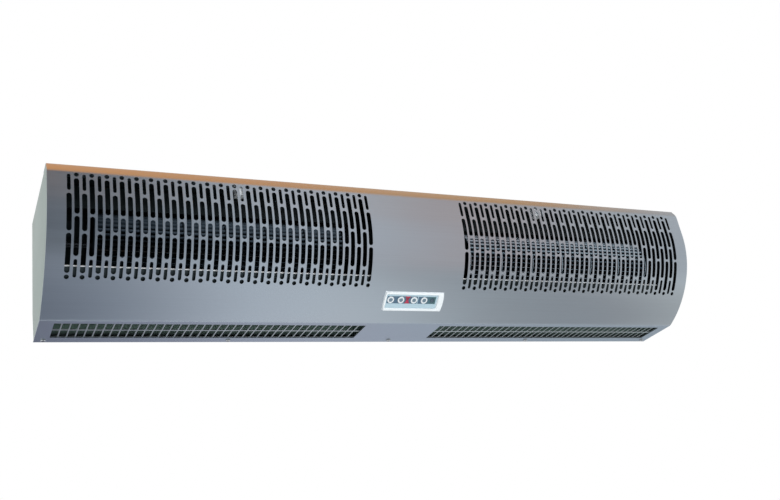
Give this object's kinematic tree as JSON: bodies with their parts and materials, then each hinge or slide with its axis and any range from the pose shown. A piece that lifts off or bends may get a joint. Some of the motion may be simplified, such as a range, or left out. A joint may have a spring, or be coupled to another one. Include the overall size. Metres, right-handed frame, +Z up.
{
  "type": "air curtain",
  "caption": "Wall-mounted air curtain with a perforated stainless cover, cross-flow fan wheels, outlet grilles underneath and a small button panel.",
  "frame": {"origin": "middle of the wall bracket, on the wall plane", "axes": "+X along the length to the viewer's right, +Y towards the wall, +Z up"},
  "size_m": [1.106, 0.184, 0.1956],
  "materials": {
    "stainless_cover": "brushed lengthwise, satin",
    "panel_paint": "pale grey-green paint, semi-matt",
    "zinc_plated_steel": "zinc plated sheet, dull",
    "wheel_aluminium": "mill finish",
    "grille_steel": "plated, satin",
    "motor_paint": "dark grey paint, semi-matt",
    "shaft_steel": "ground",
    "black_rubber": "moulded, matt",
    "bearing_bronze": "sintered bronze, oiled",
    "heater_steel": "heat-tinted stainless tube",
    "white_plastic": "moulded, slight gloss",
    "label_film": "printed film, satin",
    "button_plastic": "moulded, slight gloss",
    "red_lens": "clear red, polished",
    "dark_lens": "dark tinted, polished",
    "board_laminate": "green lacquered laminate",
    "phenolic": "dark moulded phenolic",
    "capacitor_plastic": "pale moulded case",
    "terminal_plastic": "off-white moulded",
    "screw_steel": "bright plated"
  },
  "bodies": {
    "casing": {"front_cover": "stainless_cover", "rear_casing": "zinc_plated_steel", "wall_bracket": "zinc_plated_steel", "motor_bracket": "zinc_plated_steel", "end_panel_left": "panel_paint", "end_panel_right": "panel_paint", "outlet_grille_left": "grille_steel", "outlet_grille_right": "grille_steel", "scroll_left": "zinc_plated_steel", "scroll_right": "zinc_plated_steel", "air_guide_left": "zinc_plated_steel", "air_guide_right": "zinc_plated_steel", "cover_stay_left": "zinc_plated_steel", "cover_stay_right": "zinc_plated_steel", "chamber_plate_left_inner": "zinc_plated_steel", "chamber_plate_left_outer": "zinc_plated_steel", "chamber_plate_right_inner": "zinc_plated_steel", "chamber_plate_right_outer": "zinc_plated_steel", "heater_holder_left_inner": "zinc_plated_steel", "heater_holder_left_outer": "zinc_plated_steel", "heater_holder_right_inner": "zinc_plated_steel", "heater_holder_right_outer": "zinc_plated_steel", "bearing_rubber_left": "black_rubber", "bearing_rubber_right": "black_rubber", "motor_rubber_left": "black_rubber", "motor_rubber_right": "black_rubber", "cable_grommet": "black_rubber", "end_bearing_left": "bearing_bronze", "end_bearing_right": "bearing_bronze", "heater_left": "heater_steel", "heater_right": "heater_steel", "safety_cutout_left": "phenolic", "safety_cutout_right": "phenolic", "motor_housing": "motor_paint", "relay_board": "board_laminate", "control_board": "board_laminate", "run_capacitor": "capacitor_plastic", "terminal_block": "terminal_plastic", "cover_screw_1": "screw_steel", "cover_screw_2": "screw_steel", "cover_screw_3": "screw_steel", "cover_screw_4": "screw_steel", "cover_screw_5": "screw_steel", "control_bezel": "white_plastic", "label_plate": "label_film", "indicator_lens": "red_lens", "receiver_window": "dark_lens"},
    "rotor": {"motor_shaft": "shaft_steel", "motor_rotor": "shaft_steel", "fan_wheel_left": "wheel_aluminium", "fan_wheel_right": "wheel_aluminium", "wheel_hub_left": "black_rubber", "wheel_hub_right": "black_rubber", "stub_shaft_left": "shaft_steel", "stub_shaft_right": "shaft_steel"},
    "button_1": {"button_1": "button_plastic"},
    "button_2": {"button_2": "button_plastic"},
    "button_3": {"button_3": "button_plastic"},
    "button_4": {"button_4": "button_plastic"}
  },
  "joints": [
    {"name": "fan_spin", "type": "hinge", "parent": "casing", "child": "rotor", "pos_m": [0, -0.096, -0.008], "axis": [1, 0, 0], "continuous": true},
    {"name": "button_1_press", "type": "slide", "parent": "casing", "child": "button_1", "axis": [0, 0.6251, 0.7806], "range_m": [0, 0.0007], "stiffness_N_per_m": 2000},
    {"name": "button_2_press", "type": "slide", "parent": "casing", "child": "button_2", "axis": [0, 0.6251, 0.7806], "range_m": [0, 0.0007], "stiffness_N_per_m": 2000},
    {"name": "button_3_press", "type": "slide", "parent": "casing", "child": "button_3", "axis": [0, 0.6251, 0.7806], "range_m": [0, 0.0007], "stiffness_N_per_m": 2000},
    {"name": "button_4_press", "type": "slide", "parent": "casing", "child": "button_4", "axis": [0, 0.6251, 0.7806], "range_m": [0, 0.0007], "stiffness_N_per_m": 2000}
  ]
}
